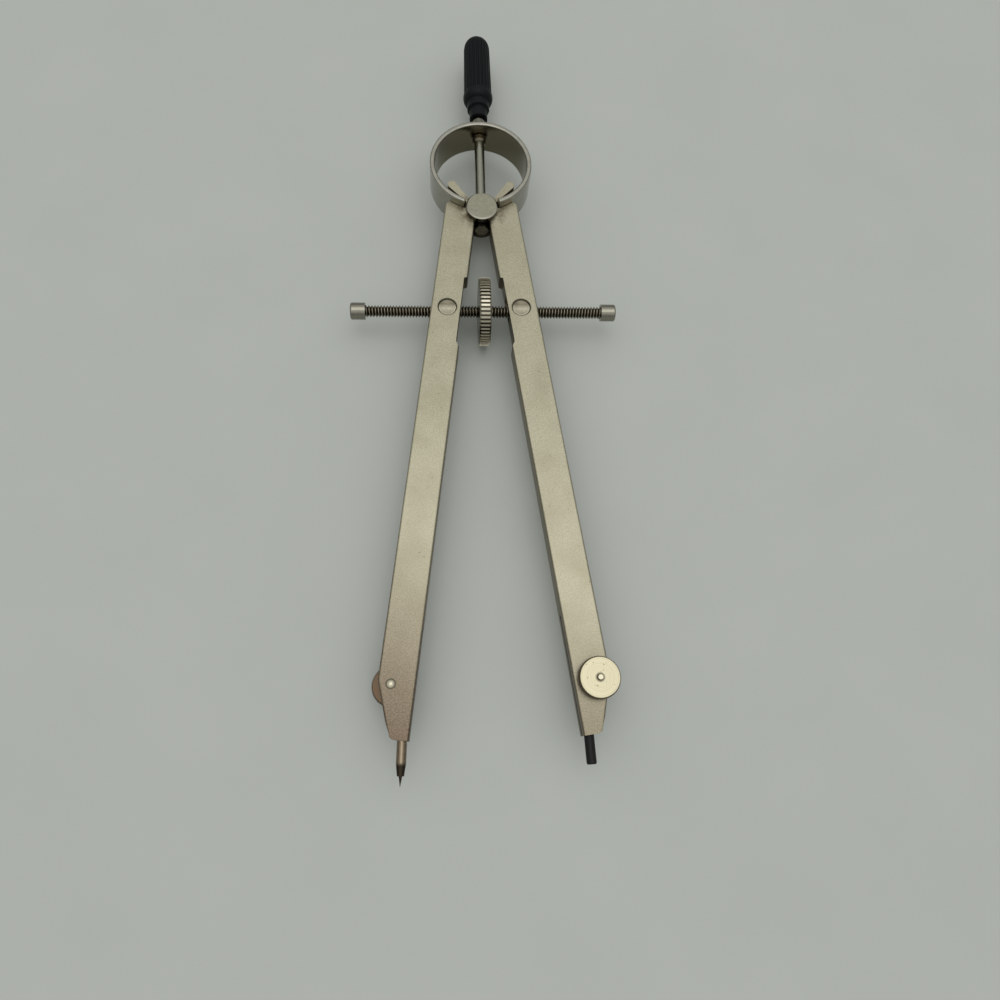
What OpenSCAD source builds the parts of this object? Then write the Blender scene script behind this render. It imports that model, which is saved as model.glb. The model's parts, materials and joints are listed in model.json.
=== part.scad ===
// Bow compass with a centre wheel, lying on its back.
// X runs across the legs, Y along the compass towards the handle, Z out of its front face.
// Each sub-part is drawn round the pivot of the legs and then moved onto the table.

/* [Opening] */
// Angle of each leg from the middle line, in degrees
leg_angle = 7.3; // [1:0.1:12]

/* [Handle] */
// Distance from the pivot to the end of the handle's neck
neck_start = 29.1; // [28:0.1:32]
// Length of the thin neck
neck_length = 2.8; // [2:0.1:4]
// Diameter of the thin neck
neck_diameter = 4.5; // [3.6:0.1:5]
// Length of the boss above the neck
boss_length = 1.7; // [1:0.1:3]
// Diameter of the boss
boss_diameter = 5.6; // [5.1:0.1:6]
// Length of the smooth collar under the flutes
collar_length = 2.8; // [2:0.1:4]
// Largest diameter of the collar
collar_diameter = 7.5; // [7.2:0.1:8.4]
// Rounding of the collar's lower edge
collar_rounding = 1.6; // [1.2:0.1:2]
// Length of the fluted grip, with its domed top
grip_length = 19; // [16:0.1:28]
// Diameter of the grip next to the collar
grip_diameter = 7.1; // [6.8:0.1:7.2]
// Diameter of the grip where its dome begins
grip_top_diameter = 6.7; // [6:0.1:6.8]
// Number of flutes round the grip
flute_count = 22; // [12:1:26]
// Radius of each flute
flute_radius = 0.32; // [0.2:0.02:0.36]

/* [Stem] */
// Diameter of the stem
stem_diameter = 2.5; // [1.8:0.1:2.7]
// Length of the stem inside the handle
stem_inset = 15; // [8:0.5:20]
// Diameter of the ferrule where it stands on the spring
ferrule_diameter = 4.2; // [3.6:0.1:5]
// Diameter of the ferrule at the neck
ferrule_top_diameter = 3.1; // [2.9:0.1:3.6]
// Diameter of the nut under the top of the spring
bow_nut_diameter = 3.5; // [3.2:0.1:4.2]
// Height of the nut under the top of the spring
bow_nut_height = 1.7; // [1:0.1:3]
// Diameter of the nut on the end of the stem
end_nut_diameter = 3.2; // [3:0.1:3.4]
// Height of the nut on the end of the stem
end_nut_height = 2; // [1.4:0.1:2.6]
// Thickness of that nut's closed end
end_nut_floor = 0.6; // [0.4:0.05:0.9]

/* [Bow spring] */
// Outer diameter of the ring
ring_diameter = 24.8; // [24:0.1:25]
// Thickness of the ring's band
ring_thickness = 1.2; // [0.9:0.05:1.3]
// Width of the ring's band
ring_width = 8.9; // [7:0.1:10]
// Rounding of the band's four long edges
ring_rounding = 0.4; // [0.2:0.01:0.44]
// Distance from the pivot to the middle of the ring
ring_height = 12.2; // [12.1:0.05:12.4]
// Angle from straight down to each end of the ring, in degrees
ring_gap_angle = 20.4; // [20:0.1:24]
// Gap between the ring and the shoulders of the legs
ring_seat_gap = 0.1; // [0.05:0.01:0.3]

/* [Pivot] */
// Diameter of the roller that the legs seat on
roller_diameter = 4.6; // [4.2:0.1:4.8]
// Diameter of the discs before and behind the legs
disc_diameter = 7.5; // [6.6:0.1:7.8]
// Thickness of each disc
disc_thickness = 1.4; // [1:0.1:2]
// Bevel round each disc's face
disc_bevel = 0.25; // [0.15:0.05:0.6]
// Diameter of the spigot that carries the rear disc
spigot_diameter = 2.4; // [1.6:0.1:3]

/* [Legs] */
// Thickness of each leg
leg_thickness = 4.6; // [4.4:0.1:5.2]
// Width of each leg
leg_width = 7.5; // [7.2:0.1:7.8]
// Distance from the pivot to the end of each leg
leg_length = 123.2; // [119:0.1:130]
// Distance from the middle line to a closed leg's inner face
leg_gap = 1.3; // [1.2:0.05:1.6]
// Rounding of the legs' long edges
leg_rounding = 0.45; // [0.2:0.05:0.7]
// Length of the outer taper at each leg's end
taper_length = 10.8; // [9:0.1:14]
// Width of each leg at its end
tip_width = 3.9; // [3.7:0.1:4.6]
// Rounding of the outer corner at each leg's end
tip_rounding = 0.9; // [0.4:0.1:1.2]
// Slope of the shoulder outside the spring, in degrees
shoulder_slope = 46; // [35:1:55]
// Height of the shoulder's outer corner above the pivot
shoulder_height = 0.3; // [0:0.05:0.6]
// Distance from the middle line to the bottom of the slot for the spring
slot_floor = 3.85; // [3.6:0.05:3.95]
// Height of the slot's upper corner above the pivot
slot_top = 1.75; // [1.6:0.05:1.9]
// Angle above level at which the seat on the roller ends, in degrees
seat_end_angle = 19.5; // [15:0.5:24]
// Distance from the middle line to the inner bend, where the neck becomes the finger
bend_across = 4.1; // [3.9:0.05:4.3]
// Height of the inner bend above the pivot
bend_height = 3.5; // [3.3:0.05:3.7]
// Distance from the middle line to the middle of the fingertip
finger_across = 7.92; // [7.6:0.02:8.1]
// Height of the middle of the fingertip above the pivot
finger_height = 6.24; // [6:0.02:6.4]
// Radius of the rounded fingertip inside the ring
finger_radius = 1.05; // [0.9:0.05:1.2]
// Depth of the notch that clears the wheel
notch_depth = 0.8; // [0.7:0.05:1.2]
// Distance from the pivot to the upper end of the notch
notch_start = 19.2; // [18.6:0.1:19.3]
// Length of the notch
notch_length = 18.3; // [18:0.1:21]
// Length of the saw cut between the jaws at a leg's end
jaw_length = 23.6; // [18:0.1:26]
// Width of the saw cut
jaw_gap = 0.4; // [0.2:0.05:0.6]
// Diameter of the relief hole at the end of the saw cut
relief_diameter = 0.9; // [0.7:0.05:1.4]

/* [Adjusting screw] */
// Distance from the pivot to the trunnions, along the leg
trunnion_down = 27.7; // [27.5:0.1:28.2]
// Diameter of each trunnion
trunnion_diameter = 3.9; // [3.8:0.1:4.3]
// Bevel round both ends of a trunnion's hole
hole_bevel = 0.2; // [0.1:0.05:0.3]
// Depth of each trunnion's ends under the faces of its leg
trunnion_recess = 0.25; // [0.1:0.05:0.35]
// Depth of the dish in each end of a trunnion
trunnion_dish = 0.25; // [0.1:0.05:0.35]
// Diameter of the spindle over its thread
spindle_diameter = 2.8; // [2.4:0.1:2.9]
// Distance between the outer faces of the end caps
screw_length = 61.5; // [59:0.1:66]
// Length of each end cap
cap_length = 3.4; // [2.6:0.1:4]
// Diameter of each end cap
cap_diameter = 3.9; // [3.6:0.1:4.2]
// Rounding of each end cap's outer edge
cap_rounding = 0.4; // [0.2:0.05:0.9]
// Diameter of the centre wheel
wheel_diameter = 15.6; // [15:0.1:15.8]
// Width of the centre wheel
wheel_width = 2.6; // [2:0.1:2.7]
// Number of teeth on the centre wheel
wheel_teeth = 54; // [40:1:60]
// Depth of the centre wheel's teeth
wheel_tooth_depth = 0.45; // [0.3:0.05:0.6]
// Bevel on each side of the centre wheel
wheel_bevel = 0.4; // [0.2:0.05:0.5]

/* [Clamps] */
// Distance from a leg's end to its clamp stud
clamp_up = 10.3; // [9.5:0.1:12]
// Distance from a leg's outer face to its clamp stud
clamp_inset = 2.65; // [2.5:0.05:2.8]
// Diameter of each clamp stud
stud_diameter = 1; // [0.9:0.05:1.4]
// Diameter of the domed head of each stud
stud_head_diameter = 2; // [1.8:0.05:2.4]
// Height of the domed head of each stud
stud_head_height = 0.5; // [0.3:0.05:0.6]
// Length of stud that stands out of its nut
stud_end = 0.55; // [0.3:0.05:0.9]
// Diameter of each thumb nut
nut_diameter = 8.4; // [7.6:0.1:9]
// Thickness of each thumb nut
nut_thickness = 2.5; // [2:0.1:2.8]
// Number of teeth in each thumb nut's knurl
nut_teeth = 64; // [40:1:72]
// Depth of each thumb nut's knurl
nut_tooth_depth = 0.22; // [0.15:0.01:0.3]
// Bevel on each face of a thumb nut
nut_bevel = 0.35; // [0.25:0.05:0.5]

/* [Points] */
// Diameter of the lead and of the needle's shank
lead_diameter = 2; // [1.8:0.05:2.1]
// Length of the lead
lead_length = 26; // [20:0.5:27]
// Length of lead that stands out of its leg
lead_out = 5.5; // [4:0.1:7]
// Slant of the two bores towards the middle line, in degrees
bore_slant = 5; // [3:0.5:6]
// Distance from a leg's inner face to the bore, at the leg's end
bore_across = 1.36; // [1.35:0.01:1.5]
// Depth of each bore
bore_depth = 29; // [27.5:0.5:32]
// Length of the needle's shank inside its leg
shank_inset = 16; // [12:0.5:20]
// Length of round shank that stands out of its leg
shank_out = 4.2; // [3:0.1:6]
// Length of the shank's taper
shank_taper = 2.3; // [1.5:0.1:3]
// Diameter of the shoulder at the end of the taper
shoulder_diameter = 1.4; // [1.1:0.05:1.7]
// Diameter of the needle point
point_diameter = 0.7; // [0.5:0.05:0.9]
// Length of needle point that stands out of its shoulder
point_out = 2.1; // [1.5:0.1:2.5]
// Length of needle point inside the shank
point_inset = 4; // [2:0.1:6]

/* [Hidden] */
$fn = 48;
// Radial clearance of pieces that are pressed or screwed together
seat_fit = 0.02;
// Radial clearance of pieces that turn or slide
running_fit = 0.04;
// Gap between flat faces that lie on each other
face_gap = 0.05;
// Gap between pieces that pass each other
pass_gap = 0.3;
// Length that a cutting shape runs past the face that it cuts
overrun = 1;

half_leg = leg_thickness / 2;
leg_inner = leg_gap;
leg_outer = leg_gap + leg_width;
taper_start = leg_length - taper_length;
roller_radius = roller_diameter / 2;
stem_radius = stem_diameter / 2;
spindle_radius = spindle_diameter / 2;
ring_radius = ring_diameter / 2;
ring_inner_radius = ring_radius - ring_thickness;
ring_top = ring_height + ring_radius;
// Middle of the ring, as a closed leg has it
ring_middle = ring_height * [sin(leg_angle), cos(leg_angle)];

// Disc faces, measured from the middle plane of the legs
disc_inner = half_leg + face_gap;
disc_outer = disc_inner + disc_thickness;

// Lower ends of the nut on the stem and of the stem inside it
end_nut_low = -roller_radius - face_gap - end_nut_height;
stem_low = end_nut_low + end_nut_floor + face_gap;

// Heights of the handle's steps above the pivot
boss_start = neck_start + neck_length;
collar_start = boss_start + boss_length;
grip_start = collar_start + collar_length;
dome_radius = grip_top_diameter / 2 - face_gap;
handle_top = grip_start + grip_length;
dome_start = handle_top - dome_radius;
grip_slope = atan((grip_diameter - grip_top_diameter) / 2 / (dome_start - grip_start));

// The trunnions lie on the middle of each leg
trunnion_across = leg_gap + leg_width / 2;
slot_half_height = spindle_radius + pass_gap;
// Largest angle from the middle line that a leg's screw slot lets it open to, in degrees
largest_angle = 33;

// Turns a point of a closed leg to where the open leg has it
function opened(p) = [
    p.x * cos(leg_angle) - p.y * sin(leg_angle),
    p.x * sin(leg_angle) + p.y * cos(leg_angle)
];
trunnion_place = opened([trunnion_across, -trunnion_down]);
screw_y = trunnion_place.y;
cap_inner = screw_length / 2 - cap_length;
// Depth to which the spindle enters each end cap
cap_bore = cap_length * 2 / 3;

// Shares of a tooth's pitch that its crest and its root take
wheel_crest = 0.5;
wheel_root = 0.3;
knurl_crest = 0.2;
knurl_root = 0.2;

// Place of the clamp stud on a closed leg
clamp_place = [leg_outer - clamp_inset, clamp_up - leg_length];

// A point on a bore's axis, at a distance below the end of a closed leg
function bore_point(below) = [
    leg_inner + bore_across - below * sin(bore_slant),
    -leg_length - below * cos(bore_slant)
];
needle_out = shank_out + shank_taper + point_out;
needle_tip = opened(bore_point(needle_out));

// Moves the drawing so that the table is Z = 0 and the box is centred on the origin
table_height = wheel_diameter / 2;
middle_y = (handle_top + needle_tip.y) / 2;

// Placing

// Puts a drawing made round the pivot onto the table
module on_table() {
    translate([0, -middle_y, table_height]) children();
}

// Puts a drawing made on a closed leg where the lead leg is
module on_lead_leg() {
    on_table() rotate([0, 0, leg_angle]) children();
}

// The needle leg is the lead leg turned half round on the middle line
module on_needle_leg() {
    on_table() rotate([0, 180, 0]) rotate([0, 0, leg_angle]) children();
}

// Turns a drawing's Z axis to Y
module along_y() {
    rotate([-90, 0, 0]) children();
}

// Turns a drawing's Z axis to X
module along_x() {
    rotate([0, 90, 0]) children();
}

// Puts a drawing's Z axis on a bore, with its origin at the end of the leg
module along_bore() {
    translate(bore_point(0)) rotate([0, 0, -bore_slant]) along_y() children();
}

// Shared shapes

// Toothed outline: each tooth has a crest and a root of a set share of its pitch
module toothed_outline(radius, teeth, depth, crest_share, root_share) {
    pitch = 360 / teeth;
    crest = pitch * crest_share / 2;
    root = pitch * root_share / 2;
    polygon([
        for (i = [0 : teeth - 1], corner = [[radius, -crest], [radius, crest],
            [radius - depth, pitch / 2 - root], [radius - depth, pitch / 2 + root]])
            corner[0] * [cos(i * pitch + corner[1]), sin(i * pitch + corner[1])]
    ]);
}

// Round disc from Z = 0 to its height, bevelled on either face
module bevelled_disc(radius, height, low_bevel, high_bevel) {
    rotate_extrude()
        polygon([
            [0, 0],
            [radius - low_bevel, 0],
            [radius, low_bevel],
            [radius, height - high_bevel],
            [radius - high_bevel, height],
            [0, height]
        ]);
}

// Half profile of a round rod with a shallow dome on top: its cap is part of a large sphere
module domed_half_profile(radius, height, dome) {
    cap_radius = (radius * radius + dome * dome) / (2 * dome);
    intersection() {
        square([radius, height + overrun]);
        translate([0, height - cap_radius]) circle(cap_radius, $fn = 200);
    }
}

// Half profile of a round rod with a shallow dish in its end, inside a narrow flat rim
module dished_half_profile(radius, height, dish) {
    dish_radius = radius * 0.92;
    cup_radius = (dish_radius * dish_radius + dish * dish) / (2 * dish);
    difference() {
        square([radius, height]);
        translate([0, height + cup_radius - dish]) circle(cup_radius, $fn = 200);
    }
}

// Rounded rectangle from two squares and four circles, so that its corners are true arcs
module rounded_rectangle(low, high, rounding) {
    translate([low.x + rounding, low.y]) square([high.x - low.x - 2 * rounding, high.y - low.y]);
    translate([low.x, low.y + rounding]) square([high.x - low.x, high.y - low.y - 2 * rounding]);
    for (x = [low.x + rounding, high.x - rounding], y = [low.y + rounding, high.y - rounding])
        translate([x, y]) circle(rounding);
}

// Head

module handle_grip() {
    color("#23272a")
        on_table()
            difference() {
                handle_body();
                for (i = [0 : flute_count - 1])
                    rotate([0, i * 360 / flute_count, 0]) flute_cutter();
                along_y()
                    translate([0, 0, neck_start - overrun])
                        cylinder(r = stem_radius + seat_fit, h = stem_inset + overrun + face_gap);
            }
}

// Turned body: neck, boss, rounded collar, tapered grip and dome
module handle_body() {
    collar_edge = grip_start - collar_length / 4;
    along_y()
        rotate_extrude() {
            polygon([
                [0, neck_start],
                [neck_diameter / 2, neck_start],
                [neck_diameter / 2, boss_start],
                [boss_diameter / 2, boss_start + (boss_diameter - neck_diameter) / 4],
                [boss_diameter / 2, collar_edge],
                [collar_diameter / 2, collar_edge],
                [collar_diameter / 2, grip_start],
                [grip_diameter / 2, grip_start + (collar_diameter - grip_diameter) / 2],
                [grip_top_diameter / 2, dome_start],
                [0, dome_start]
            ]);
            translate([collar_diameter / 2 - collar_rounding, collar_edge]) circle(collar_rounding);
            translate([0, dome_start])
                intersection() {
                    circle(dome_radius);
                    translate([0, -overrun]) square(dome_radius + 2 * overrun);
                }
        }
}

// Round groove that follows the grip's taper and runs out through the dome
module flute_cutter() {
    translate([0, grip_start + 2 * flute_radius, grip_diameter / 2])
        rotate([-90 - grip_slope, 0, 0])
            cylinder(r = flute_radius, h = grip_length, $fn = 16);
}

module stem() {
    color("#b9b8b0")
        on_table()
            along_y()
                translate([0, 0, stem_low])
                    cylinder(r = stem_radius, h = neck_start + stem_inset - stem_low);
}

// Cone that stands on the ring and carries the neck of the handle
module stem_ferrule() {
    low = ring_top + face_gap;
    color("#c9c7bd")
        on_table()
            along_y()
                translate([0, 0, low])
                    difference() {
                        cylinder(
                            d1 = ferrule_diameter,
                            d2 = ferrule_top_diameter,
                            h = neck_start - face_gap - low
                        );
                        stem_hole(neck_start - low);
                    }
}

// Hole for the stem, through a drawing that starts at Z = 0
module stem_hole(height) {
    translate([0, 0, -overrun]) cylinder(r = stem_radius + seat_fit, h = height + 2 * overrun);
}

// Nut under the band: its top face clears the curved underside of the ring
module bow_nut() {
    nut_radius = bow_nut_diameter / 2;
    nut_top = ring_height + sqrt(ring_inner_radius * ring_inner_radius - nut_radius * nut_radius);
    color("#6f6c62")
        on_table()
            along_y()
                translate([0, 0, nut_top - face_gap - bow_nut_height])
                    difference() {
                        bevelled_disc(nut_radius, bow_nut_height, nut_radius / 4, nut_radius / 12);
                        stem_hole(bow_nut_height);
                    }
}

// Open ring of flat band with rounded rims, drilled at its top for the stem
module bow_spring() {
    gap_depth = ring_diameter;
    gap_half_width = gap_depth * tan(ring_gap_angle);
    half_width = ring_width / 2;
    color("#b7b3a4")
        on_table()
            difference() {
                translate([0, ring_height, 0])
                    rotate_extrude($fn = 120)
                        rounded_rectangle(
                            [ring_inner_radius, -half_width], [ring_radius, half_width], ring_rounding
                        );
                translate([0, ring_height, -half_width - overrun])
                    linear_extrude(ring_width + 2 * overrun)
                        polygon([
                            [0, 0],
                            [gap_half_width, -gap_depth],
                            [-gap_half_width, -gap_depth]
                        ]);
                along_y()
                    translate([0, 0, ring_height])
                        cylinder(r = stem_radius + seat_fit, h = ring_diameter);
            }
}

// Roller with the front disc on it, cross-drilled for the stem
module fulcrum_pin() {
    spigot_end = disc_outer - disc_bevel;
    color("#c8c5b8")
        on_table()
            difference() {
                union() {
                    translate([0, 0, -disc_inner])
                        cylinder(r = roller_radius, h = 2 * disc_inner + face_gap);
                    translate([0, 0, disc_inner])
                        bevelled_disc(disc_diameter / 2, disc_thickness, disc_bevel / 4, disc_bevel);
                    translate([0, 0, -spigot_end]) cylinder(d = spigot_diameter, h = spigot_end);
                }
                along_y()
                    translate([0, 0, -roller_diameter])
                        cylinder(r = stem_radius + seat_fit, h = 2 * roller_diameter);
            }
}

// Rear disc on the pivot's spigot
module fulcrum_washer() {
    washer_thickness = disc_thickness - face_gap;
    spigot_hole = spigot_diameter + 2 * seat_fit;
    color("#c8c5b8")
        on_table()
            mirror([0, 0, 1])
                translate([0, 0, disc_inner + face_gap])
                    difference() {
                        bevelled_disc(disc_diameter / 2, washer_thickness, disc_bevel / 4, disc_bevel);
                        translate([0, 0, -overrun])
                            cylinder(d = spigot_hole, h = disc_thickness + 2 * overrun);
                    }
}

// Nut with a closed end, into which the end of the stem goes
module stem_end_nut() {
    color("#5d5a52")
        on_table()
            along_y()
                translate([0, 0, end_nut_low])
                    difference() {
                        cylinder(d = end_nut_diameter, h = end_nut_height);
                        translate([0, 0, end_nut_floor])
                            cylinder(r = stem_radius + seat_fit, h = end_nut_height);
                    }
}

// Legs

// One leg, closed: its inner face stands at X = leg_inner and the pivot is the origin
module leg() {
    difference() {
        union() {
            leg_bar();
            translate([0, 0, -half_leg]) linear_extrude(leg_thickness) leg_hook();
        }
        // Seat on the roller
        translate([0, 0, -half_leg - overrun])
            cylinder(r = roller_radius + running_fit, h = leg_thickness + 2 * overrun);
        nut_pocket();
        wheel_notch();
        screw_passage();
        jaws();
    }
}

// Straight bar with rounded long edges, its shoulder, its outer taper and its rounded end
module leg_bar() {
    taper_angle = atan((leg_width - tip_width) / taper_length);
    intersection() {
        translate([0, -leg_length, 0])
            rotate([-90, 0, 0])
                linear_extrude(leg_length + leg_width)
                    rounded_rectangle([leg_inner, -half_leg], [leg_outer, half_leg], leg_rounding);
        translate([leg_outer, -taper_start, 0])
            rotate([0, 0, -taper_angle])
                translate([0, -leg_length, 0])
                    rotate([-90, 0, 0])
                        linear_extrude(2 * leg_length)
                            rounded_rectangle([-leg_length, -half_leg], [0, half_leg], leg_rounding);
        translate([0, 0, -half_leg - overrun]) linear_extrude(leg_thickness + 2 * overrun) bar_outline();
    }
}

// Outline of the bar: a shoulder that follows the ring and slopes down outside it, and the rounded corner
// at the bar's end
module bar_outline() {
    corner = [leg_inner + tip_width - tip_rounding, -leg_length + tip_rounding];
    slope_across = leg_width / 2;
    slope_top = shoulder_height + slope_across * tan(shoulder_slope);
    difference() {
        polygon([
            [0, -leg_length],
            [corner.x, -leg_length],
            [corner.x, corner.y],
            [corner.x + tip_rounding, corner.y],
            [leg_outer + overrun, -taper_start],
            [leg_outer + overrun, shoulder_height - overrun * tan(shoulder_slope)],
            [leg_outer - slope_across, slope_top],
            [0, slope_top]
        ]);
        translate(ring_middle) circle(ring_radius + ring_seat_gap, $fn = 120);
    }
    translate(corner) circle(tip_rounding);
}

// Hook of the leg: the neck round the roller and the finger that lies inside the ring
module leg_hook() {
    hook_low = -roller_radius - leg_rounding;
    seat_end = (roller_radius + 2 * running_fit) * [cos(seat_end_angle), sin(seat_end_angle)];
    inner_bend = [bend_across, bend_height];
    slot_corner = [slot_floor, slot_top];
    fingertip = [finger_across, finger_height];
    inner_side = tangent_point(inner_bend, fingertip, finger_radius, 1);
    lower_side = tangent_point(slot_corner, fingertip, finger_radius, -1);
    polygon([
        [leg_inner, hook_low],
        [slot_floor, hook_low],
        slot_corner,
        lower_side,
        fingertip,
        inner_side,
        inner_bend,
        seat_end,
        [leg_inner, -roller_radius / 2]
    ]);
    translate(fingertip) circle(finger_radius);
}

// Where a line from a point touches a circle, on its left side (1) or its right side (-1)
function tangent_point(from, middle, radius, side) =
    let (
        reach = norm(middle - from),
        direction = atan2(middle.y - from.y, middle.x - from.x) + side * asin(radius / reach),
        along = sqrt(reach * reach - radius * radius)
    )
    from + along * [cos(direction), sin(direction)];

// Pocket between the leg's faces that clears the nut on the end of the stem
module nut_pocket() {
    pocket_half = end_nut_diameter / 2 + pass_gap - face_gap;
    pocket_low = roller_radius + end_nut_height + pass_gap;
    translate([0, -pocket_low, -pocket_half])
        cube([end_nut_diameter / 2 + pass_gap, pocket_low, 2 * pocket_half]);
}

// Notch in the inner face, with a steep end above and a sloped one below
module wheel_notch() {
    upper_slope = 0.4 * notch_depth;
    lower_slope = 1.5 * notch_depth;
    translate([leg_inner, -notch_start, -half_leg - overrun])
        linear_extrude(leg_thickness + 2 * overrun)
            polygon([
                [-overrun, 0],
                [0, 0],
                [notch_depth, -upper_slope],
                [notch_depth, lower_slope - notch_length],
                [0, -notch_length],
                [-overrun, -notch_length]
            ]);
}

// Bevelled hole for the trunnion, and the slot in which the spindle swings as the leg opens
module screw_passage() {
    hole_radius = trunnion_diameter / 2 + running_fit;
    bevel_run = hole_bevel + overrun;
    reach = leg_width / 2 + overrun;
    swing = reach * tan(largest_angle) + pass_gap + slot_half_height * (1 / cos(largest_angle) - 1);
    translate([trunnion_across, -trunnion_down, 0]) {
        translate([0, 0, -half_leg - overrun]) cylinder(r = hole_radius, h = leg_thickness + 2 * overrun);
        for (face = [0, 1])
            mirror([0, 0, face])
                translate([0, 0, half_leg - hole_bevel])
                    cylinder(r1 = hole_radius, r2 = hole_radius + bevel_run, h = bevel_run);
        translate([0, 0, -slot_half_height])
            linear_extrude(2 * slot_half_height)
                polygon([
                    [-reach, -slot_half_height],
                    [0, -slot_half_height],
                    [reach, -slot_half_height - swing],
                    [reach, slot_half_height],
                    [0, slot_half_height],
                    [-reach, slot_half_height + swing]
                ]);
    }
}

// Slanted bore, saw cut with its relief hole, and the hole for the clamp stud
module jaws() {
    along_bore()
        translate([0, 0, -overrun])
            cylinder(d = lead_diameter + 2 * running_fit, h = bore_depth + overrun);
    translate([0, -leg_length - overrun, -jaw_gap / 2])
        cube([leg_outer + overrun, jaw_length + overrun, jaw_gap]);
    translate([0, jaw_length - leg_length, 0])
        along_x()
            cylinder(d = relief_diameter, h = leg_outer + overrun);
    translate([clamp_place.x, clamp_place.y, -half_leg - overrun])
        cylinder(d = stud_diameter + 2 * seat_fit, h = leg_thickness + 2 * overrun);
}

module needle_leg() {
    color("#b8b3a0") on_needle_leg() leg();
}

module lead_leg() {
    color("#b8b3a0") on_lead_leg() leg();
}

// Adjusting screw

// Cross nut: a short rod with dished ends that lie under the leg's faces, bored for the spindle
module trunnion(side) {
    half_length = half_leg - trunnion_recess;
    color("#bdb9aa")
        on_table()
            translate([side * trunnion_place.x, screw_y, 0])
                difference() {
                    for (face = [0, 1])
                        mirror([0, 0, face])
                            rotate_extrude()
                                dished_half_profile(trunnion_diameter / 2, half_length, trunnion_dish);
                    translate([-trunnion_diameter, 0, 0])
                        along_x()
                            cylinder(r = spindle_radius + running_fit, h = 2 * trunnion_diameter);
                }
}

module needle_leg_trunnion() {
    trunnion(-1);
}

module lead_leg_trunnion() {
    trunnion(1);
}

module spindle() {
    half_length = cap_inner + cap_bore;
    color("#5b5850")
        on_table()
            translate([-half_length, screw_y, 0])
                along_x()
                    cylinder(r = spindle_radius, h = 2 * half_length);
}

// Cap with a rounded outer edge and a blind bore for the end of the spindle
module end_cap() {
    cap_radius = cap_diameter / 2;
    difference() {
        rotate_extrude() {
            square([cap_radius, cap_length - cap_rounding]);
            square([cap_radius - cap_rounding, cap_length]);
            translate([cap_radius - cap_rounding, cap_length - cap_rounding]) circle(cap_rounding);
        }
        translate([0, 0, -overrun])
            cylinder(r = spindle_radius + seat_fit, h = cap_bore + overrun + face_gap);
    }
}

module left_end_cap() {
    color("#a9a79f")
        on_table()
            translate([-cap_inner, screw_y, 0]) rotate([0, -90, 0]) end_cap();
}

module right_end_cap() {
    color("#a9a79f")
        on_table()
            translate([cap_inner, screw_y, 0]) rotate([0, 90, 0]) end_cap();
}

// Wheel with square teeth, bevelled on both sides and bored for the spindle
module centre_wheel() {
    wheel_radius = wheel_diameter / 2;
    color("#8f8c83")
        on_table()
            translate([-wheel_width / 2, screw_y, 0])
                along_x()
                    difference() {
                        intersection() {
                            linear_extrude(wheel_width)
                                toothed_outline(
                                    wheel_radius, wheel_teeth, wheel_tooth_depth, wheel_crest, wheel_root
                                );
                            bevelled_disc(wheel_radius + face_gap, wheel_width, wheel_bevel, wheel_bevel);
                        }
                        translate([0, 0, -overrun])
                            cylinder(r = spindle_radius + running_fit, h = wheel_width + 2 * overrun);
                    }
}

// Clamps

// Stud with a domed head behind its leg and its plain end before it
module clamp_stud() {
    stud_reach = half_leg + face_gap + nut_thickness + stud_end;
    head_dome = stud_head_height * 0.7;
    translate(clamp_place) {
        translate([0, 0, -half_leg - 2 * face_gap])
            cylinder(d = stud_diameter, h = half_leg + 2 * face_gap + stud_reach);
        mirror([0, 0, 1])
            translate([0, 0, half_leg + face_gap])
                rotate_extrude() domed_half_profile(stud_head_diameter / 2, stud_head_height, head_dome);
    }
}

// Knurled disc with a sharp straight knurl, bevelled on both faces
module clamp_nut() {
    nut_radius = nut_diameter / 2;
    translate([clamp_place.x, clamp_place.y, half_leg + face_gap])
        difference() {
            intersection() {
                linear_extrude(nut_thickness)
                    toothed_outline(nut_radius, nut_teeth, nut_tooth_depth, knurl_crest, knurl_root);
                bevelled_disc(nut_radius + face_gap, nut_thickness, nut_bevel, nut_bevel);
            }
            translate([0, 0, -overrun])
                cylinder(d = stud_diameter + 2 * running_fit, h = nut_thickness + 2 * overrun);
        }
}

module needle_clamp_stud() {
    color("#b0aea6") on_needle_leg() clamp_stud();
}

module needle_clamp_nut() {
    color("#c9c5b2") on_needle_leg() clamp_nut();
}

module lead_clamp_stud() {
    color("#b0aea6") on_lead_leg() clamp_stud();
}

module lead_clamp_nut() {
    color("#c9c5b2") on_lead_leg() clamp_nut();
}

// Points

// Shank with a taper that ends in a flat shoulder, drilled for the point
module needle_shank() {
    color("#aaa69a")
        on_needle_leg()
            along_bore()
                difference() {
                    rotate_extrude()
                        polygon([
                            [0, -shank_out - shank_taper],
                            [shoulder_diameter / 2, -shank_out - shank_taper],
                            [lead_diameter / 2, -shank_out],
                            [lead_diameter / 2, shank_inset],
                            [0, shank_inset]
                        ]);
                    translate([0, 0, -shank_out - shank_taper - overrun])
                        cylinder(d = point_diameter + 2 * seat_fit, h = point_inset + overrun);
                }
}

// Point: a thin rod pressed into the shank, ground to a fine tip
module needle_point() {
    color("#8d897e")
        on_needle_leg()
            along_bore()
                translate([0, 0, -needle_out])
                    rotate_extrude()
                        polygon([
                            [0, 0],
                            [point_diameter / 2, point_out],
                            [point_diameter / 2, point_out + point_inset - face_gap],
                            [0, point_out + point_inset - face_gap]
                        ]);
}

// Lead with its end edge rubbed off
module lead() {
    worn_edge = lead_diameter / 10;
    color("#1c1c1c")
        on_lead_leg()
            along_bore()
                translate([0, 0, -lead_out])
                    bevelled_disc(lead_diameter / 2, lead_length, worn_edge, worn_edge / 2);
}

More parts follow.
